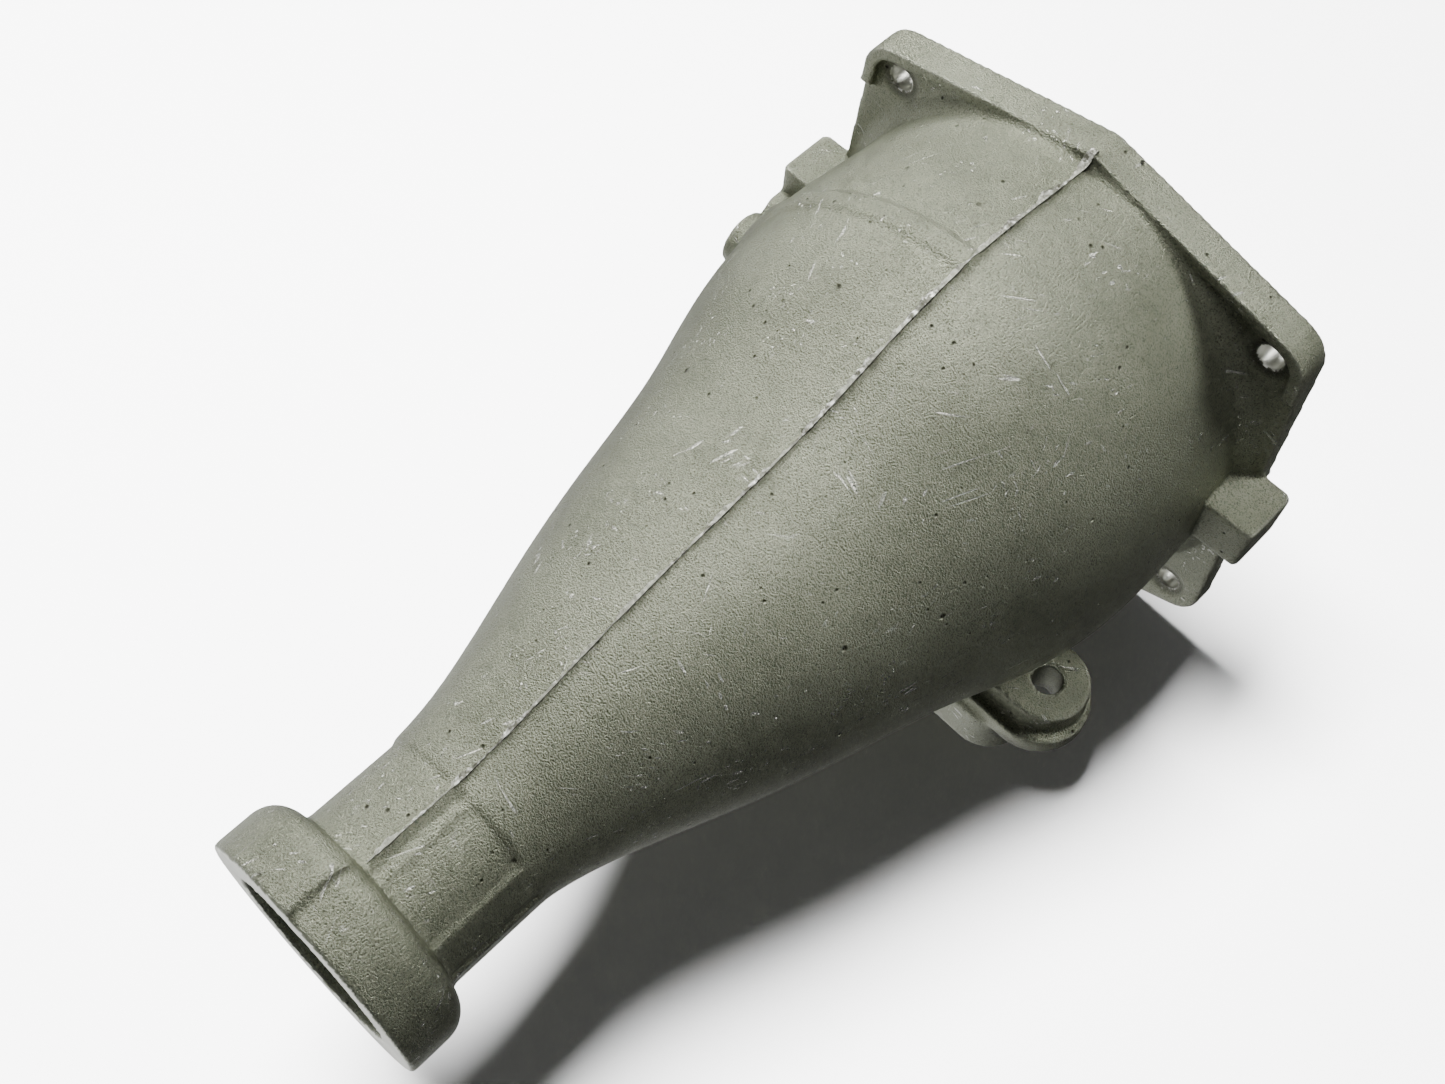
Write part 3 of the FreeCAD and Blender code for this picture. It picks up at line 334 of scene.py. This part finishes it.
# slot: (dark colour, light colour, metallic, roughness, mottle waves per metre, turning lines)
FINISHES = {
    "ground_steel": ((0.36, 0.36, 0.37), (0.46, 0.46, 0.47), 0.78, 0.32, 25.0, True),
    "bearing_steel": ((0.50, 0.51, 0.52), (0.60, 0.61, 0.62), 0.80, 0.16, 25.0, True),
    "bush_bronze": ((0.42, 0.27, 0.12), (0.55, 0.38, 0.19), 0.78, 0.34, 60.0, True),
    "zinc_steel": ((0.42, 0.41, 0.35), (0.52, 0.51, 0.45), 0.78, 0.38, 80.0, False),
    "spring_steel": ((0.12, 0.12, 0.13), (0.20, 0.20, 0.22), 0.80, 0.36, 90.0, False),
    "seal_rubber": ((0.018, 0.018, 0.020), (0.04, 0.04, 0.042), 0.0, 0.58, 200.0, False),
    "seal_paint": ((0.16, 0.17, 0.16), (0.27, 0.28, 0.26), 0.4, 0.45, 160.0, False),
    "gear_nylon": ((0.66, 0.63, 0.52), (0.78, 0.75, 0.65), 0.0, 0.44, 110.0, False),
    "driven_nylon": ((0.40, 0.05, 0.04), (0.54, 0.09, 0.07), 0.0, 0.42, 110.0, False),
}


def dress_nodes():
    """Give every carried-over CAD node the procedural material of its slot."""
    made = {name: plain(name, *finish) for name, finish in FINISHES.items()}
    slots = {part["node"]: part["material_slot"] for part in frame["record"]["subparts"]}
    for name, item in frame["nodes"].items():
        if slots[name] in made:
            item.data.materials.clear()
            item.data.materials.append(made[slots[name]])


# ---------------------------------------------------------------- casting
def new_object(name, mesh):
    """Link a new object that shows a mesh."""
    item = bpy.data.objects.new(name, mesh)
    bpy.context.collection.objects.link(item)
    return item


def evaluated(item):
    """Mesh of an object with its modifiers worked in."""
    bpy.context.view_layer.update()
    depth = bpy.context.evaluated_depsgraph_get()
    return bpy.data.meshes.new_from_object(item.evaluated_get(depth))


def corners_of(mesh):
    """Vertex places of a mesh as an array."""
    flat = numpy.empty(len(mesh.vertices) * 3, dtype=numpy.float64)
    mesh.vertices.foreach_get("co", flat)
    return flat.reshape(-1, 3)


def cut_faces(places):
    """True for vertices on bores, which stay true to size."""
    x, y, z = places.T
    reach = numpy.hypot(x, z)
    cut = (reach < BEARING_RADIUS + SEAT_MARGIN) & (y > WEB_BACK)
    cut |= (reach < BEARING_RADIUS) & (y < COLLAR_FRONT)
    for side in (-1, 1):
        for hole_x, hole_z in BOLT_HOLES:
            cut |= (numpy.hypot(x - side * hole_x, z - hole_z) < HOLE_TRUE) & (y > FLANGE_BACK - 1 * MM)
    for hole_x, hole_y, low, high in LUG_HOLES:
        cut |= (numpy.hypot(x - hole_x, y - hole_y) < HOLE_TRUE) & (z > low) & (z < high)
    return cut


def mismatch(item):
    """Set the right half of the skin a little lower along the parting line, as the moulds left it."""
    places = corners_of(item.data)
    x, y, z = places.T
    near = numpy.clip(x / MISMATCH_START, 0, 1) * numpy.clip(1 - x / MISMATCH_REACH, 0, 1)
    near *= (z > 0) & (y > COLLAR_FRONT) & (y < FLANGE_BACK - 6 * MM) & (numpy.hypot(x, z) > NECK_OUTSIDE)
    places[:, 2] -= MISMATCH * near
    item.data.vertices.foreach_set("co", places.ravel())
    item.data.update()


def casting():
    """Cast skin made from the CAD solid, with its edges and corners softened as a mould leaves them."""
    source = frame["nodes"]["extension_housing"]
    rough = new_object("casting_rough", source.data.copy())
    voxels = rough.modifiers.new("voxels", "REMESH")
    voxels.mode = "VOXEL"
    voxels.voxel_size = VOXEL
    mesh = evaluated(rough)
    bpy.data.objects.remove(rough)
    item = new_object("casting", mesh)

    places = corners_of(mesh)
    cut = cut_faces(places)
    soft = item.vertex_groups.new(name="soft")
    soft.add(numpy.flatnonzero(~cut).tolist(), 1.0, "REPLACE")
    true = item.vertex_groups.new(name="true")
    true.add(numpy.flatnonzero(cut).tolist(), 1.0, "REPLACE")
    smooth = item.modifiers.new("smooth", "SMOOTH")
    smooth.factor = 0.5
    smooth.iterations = SMOOTH_STEPS
    smooth.vertex_group = "soft"
    wrap = item.modifiers.new("wrap", "SHRINKWRAP")
    wrap.target = source
    wrap.vertex_group = "true"
    final = evaluated(item)
    item.modifiers.clear()
    item.vertex_groups.clear()
    item.data = final
    item.name = "casting_skin"
    mismatch(item)
    return item


def paint_casting(item):
    """Cast skin everywhere, cut metal on the flange face, the tail face and the bolt holes' walls."""
    mesh = item.data
    mesh.materials.clear()
    mesh.materials.append(cast_aluminium())
    mesh.materials.append(machined_aluminium())
    count = len(mesh.polygons)
    centres = numpy.empty(count * 3)
    normals = numpy.empty(count * 3)
    mesh.polygons.foreach_get("center", centres)
    mesh.polygons.foreach_get("normal", normals)
    centres = centres.reshape(-1, 3)
    normals = normals.reshape(-1, 3)
    along = numpy.abs(normals[:, 1])
    cut = (along > FACE_SQUARE) & ((centres[:, 1] > -FACE_SKIN) | (centres[:, 1] < TAIL_Y + FACE_SKIN))
    for hole_x, hole_z in BOLT_HOLES:
        gap = numpy.hypot(numpy.abs(centres[:, 0]) - hole_x, centres[:, 2] - hole_z)
        cut |= (gap < HOLE_WALL) & (centres[:, 1] > FLANGE_BACK)
    mesh.polygons.foreach_set("material_index", cut.astype(numpy.int32))
    mesh.polygons.foreach_set("use_smooth", numpy.ones(count, dtype=bool))
    mesh.update()


def skin_height(tree, y, x):
    """Height of the casting's skin above the axis at one place."""
    hit = tree.ray_cast(Vector((x, y, ABOVE_ALL)), Vector((0, 0, -1)))
    return hit[0].z


def flash_outline(tree, y, run):
    """Torn outline of the flash at one place; run goes from 0 at the flange to 1 at the collar."""
    coarse = noise.noise(Vector((y * COARSE_WAVES, 3.1, 0)))
    fine = noise.noise(Vector((y * FINE_WAVES, 7.7, 0)))
    height = max((FLASH_HEIGHT - HEIGHT_LOSS * run) * (0.7 + 0.9 * coarse + 0.6 * fine), 0.3) * MM
    wide = max(FLASH_WIDTH - WIDTH_LOSS * run + 2.8 * coarse + 1.1 * fine, 0.5) * MM
    shift = (0.4 * coarse + 0.2 * fine) * MM
    level = skin_height(tree, y, shift - 0.4 * MM)
    top = min(level + height, HIGH[2] - 0.1 * MM)
    tear = [noise.noise(Vector((y * TEAR_WAVES, 1.3 + 2.1 * k, 0))) for k in range(3)]
    section = [(-wide, level - 1.2 * MM),
               (-wide * 0.9, level + (0.05 + 0.3 * tear[0]) * MM),
               (-wide * 0.55, level + (top - level) * (0.45 + 0.5 * tear[1])),
               (-wide * 0.25, level + (top - level) * (0.70 + 0.5 * tear[2])),
               (0, top), (0.3 * MM, level - 1.6 * MM)]
    return [(shift + u, y, v) for u, v in section]


def flash(skin):
    """Uneven fin of flash along the parting line of the two mould halves."""
    tree = BVHTree.FromObject(skin, bpy.context.evaluated_depsgraph_get())
    start = FLANGE_BACK - 1 * MM
    end = COLLAR_FRONT + 1 * MM
    count = int((start - end) / FLASH_STEP)
    points = []
    for index in range(count + 1):
        points += flash_outline(tree, start + (end - start) * index / count, index / count)
    size = len(points) // (count + 1)
    faces = []
    for index in range(count):
        for k in range(size):
            a = index * size + k
            b = index * size + (k + 1) % size
            faces.append((a, b, b + size, a + size))
    faces.append(tuple(range(size))[::-1])
    faces.append(tuple(range(count * size, (count + 1) * size)))
    mesh = bpy.data.meshes.new("parting_flash")
    mesh.from_pydata(points, [], faces)
    mesh.materials.append(flash_metal())
    item = new_object("parting_flash", mesh)
    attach(item, "housing")
    return item


# ---------------------------------------------------------------- studio
def camera():
    """Camera at the viewing angle of the picture."""
    back = Vector((math.sin(AZIMUTH) * math.cos(ELEVATION), -math.cos(AZIMUTH) * math.cos(ELEVATION),
                   math.sin(ELEVATION)))
    level = Vector((math.cos(AZIMUTH), math.sin(AZIMUTH), 0))
    upright = back.cross(level)
    right = level * math.cos(ROLL) + upright * math.sin(ROLL)
    up = upright * math.cos(ROLL) - level * math.sin(ROLL)
    place = Matrix((right, up, back)).transposed().to_4x4()
    place.translation = AIM + back * DISTANCE
    data = bpy.data.cameras.new("camera")
    data.lens = LENS
    data.sensor_width = 36
    data.clip_end = 20
    item = bpy.data.objects.new("camera", data)
    bpy.context.collection.objects.link(item)
    item.matrix_world = place
    bpy.context.scene.camera = item


def light(name, place, size, power):
    """Square area light that faces the middle of the object."""
    data = bpy.data.lights.new(name, "AREA")
    data.size = size
    data.energy = power
    item = bpy.data.objects.new(name, data)
    bpy.context.collection.objects.link(item)
    item.location = place
    middle = (Vector(LOW) + Vector(HIGH)) / 2
    item.rotation_euler = (middle - Vector(place)).to_track_quat("-Z", "Y").to_euler()
    return item


def floor():
    """Plain pale floor under the object, which glows far away so that it meets the pale background."""
    mesh = bpy.data.meshes.new("floor")
    corners = [(x * FLOOR_HALF, y * FLOOR_HALF, LOW[2]) for x, y in ((-1, -1), (1, -1), (1, 1), (-1, 1))]
    mesh.from_pydata(corners, [], [(0, 1, 2, 3)])
    paper, tree, shader, where = material("paper")
    cloud = noise_value(tree, where, 3.0, 2.0)
    link(tree, blend(tree, cloud, (0.80, 0.80, 0.80), (0.86, 0.86, 0.86)), shader.inputs["Base Color"])
    shader.inputs["Roughness"].default_value = 0.9
    shader.inputs["Specular IOR Level"].default_value = 0.0
    away = tree.nodes.new("ShaderNodeVectorMath")
    away.operation = "LENGTH"
    link(tree, where, away.inputs[0])
    shader.inputs["Emission Color"].default_value = (1, 1, 1, 1)
    glow = ramp(tree, away.outputs["Value"], *FLOOR_GLOW, 0.0, BACKGROUND)
    link(tree, glow, shader.inputs["Emission Strength"])
    mesh.materials.append(paper)
    item = new_object("floor", mesh)
    item.visible_glossy = False


def studio():
    """High key for matt light, two lights that show only as a sheen on metal, and a pale background."""
    key = light("key", *KEY)
    key.visible_glossy = False
    side = light("side", *SIDE)
    side.visible_diffuse = False
    front = light("front", *FRONT)
    front.visible_diffuse = False
    world = bpy.data.worlds.new("world")
    bpy.context.scene.world = world
    world.use_nodes = True
    tree = world.node_tree
    facing = tree.nodes.new("ShaderNodeVectorMath")
    facing.operation = "DOT_PRODUCT"
    link(tree, tree.nodes.new("ShaderNodeTexCoord").outputs["Generated"], facing.inputs[0])
    facing.inputs[1].default_value = BOUNCE_FROM
    back = tree.nodes["Background"]
    back.inputs["Color"].default_value = (1, 1, 1, 1)
    bounce = ramp(tree, facing.outputs["Value"], 0.55, 1.0, *BOUNCE_RANGE)
    seen = tree.nodes.new("ShaderNodeLightPath").outputs["Is Camera Ray"]
    shown = maths(tree, "MULTIPLY", seen, BACKGROUND)
    link(tree, maths(tree, "MAXIMUM", bounce, shown), back.inputs["Strength"])


camera()
floor()
studio()
dress_nodes()
skin = casting()
paint_casting(skin)
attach(skin, "housing")
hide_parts("extension_housing")
flash(skin)
